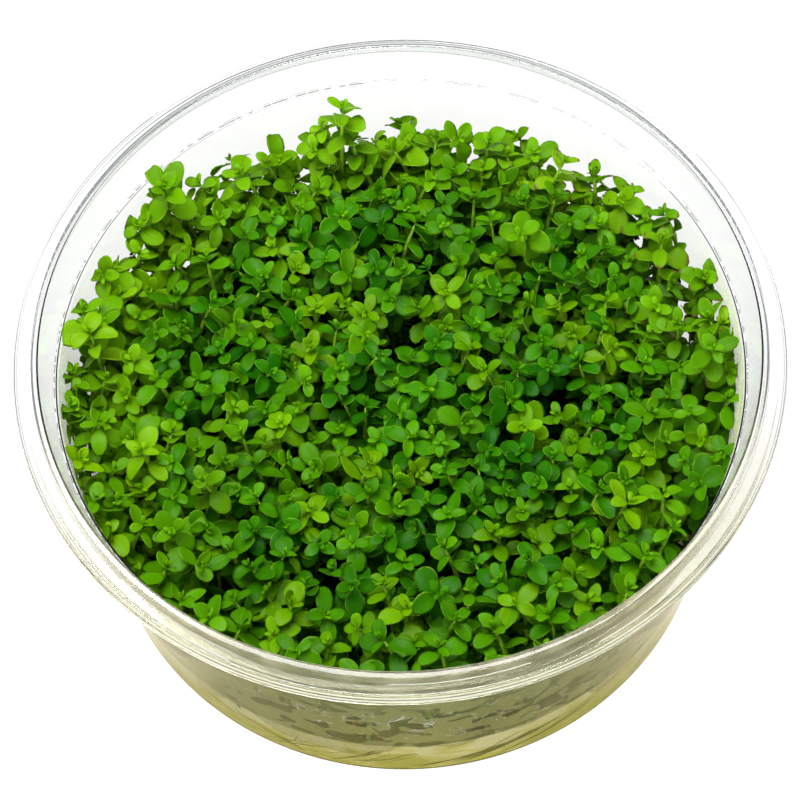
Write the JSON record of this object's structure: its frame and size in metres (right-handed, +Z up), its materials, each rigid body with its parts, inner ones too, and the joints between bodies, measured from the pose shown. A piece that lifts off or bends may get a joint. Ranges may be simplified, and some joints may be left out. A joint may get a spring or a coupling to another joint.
{
  "type": "pearlweed",
  "caption": "Cushion of bright green pearlweed with small round leaves, on pale yellow nutrient gel in an open, clear plastic tissue-culture cup.",
  "frame": {"origin": "middle of the cup's flat underside, on the table", "axes": "+Z up along the cup's axis, -Y towards the camera of the picture, +X to its right"},
  "size_m": [0.1, 0.1, 0.0443],
  "materials": {
    "clear_plastic": "clear gloss",
    "nutrient_gel": "wet and clear, pale yellow",
    "pearlweed_leaf": "soft leaf with a slight sheen"
  },
  "bodies": {
    "root": {"cup": "clear_plastic", "gel": "nutrient_gel", "plant_01": "pearlweed_leaf", "plant_02": "pearlweed_leaf", "plant_03": "pearlweed_leaf", "plant_04": "pearlweed_leaf", "plant_05": "pearlweed_leaf", "plant_06": "pearlweed_leaf", "plant_07": "pearlweed_leaf", "plant_08": "pearlweed_leaf", "plant_09": "pearlweed_leaf", "plant_10": "pearlweed_leaf", "plant_11": "pearlweed_leaf", "plant_12": "pearlweed_leaf", "plant_13": "pearlweed_leaf", "plant_14": "pearlweed_leaf", "plant_15": "pearlweed_leaf", "plant_16": "pearlweed_leaf", "plant_17": "pearlweed_leaf", "plant_18": "pearlweed_leaf", "plant_19": "pearlweed_leaf", "plant_20": "pearlweed_leaf", "plant_21": "pearlweed_leaf", "plant_22": "pearlweed_leaf", "plant_23": "pearlweed_leaf", "plant_24": "pearlweed_leaf", "plant_25": "pearlweed_leaf", "plant_26": "pearlweed_leaf", "plant_27": "pearlweed_leaf", "plant_28": "pearlweed_leaf"}
  },
  "joints": []
}
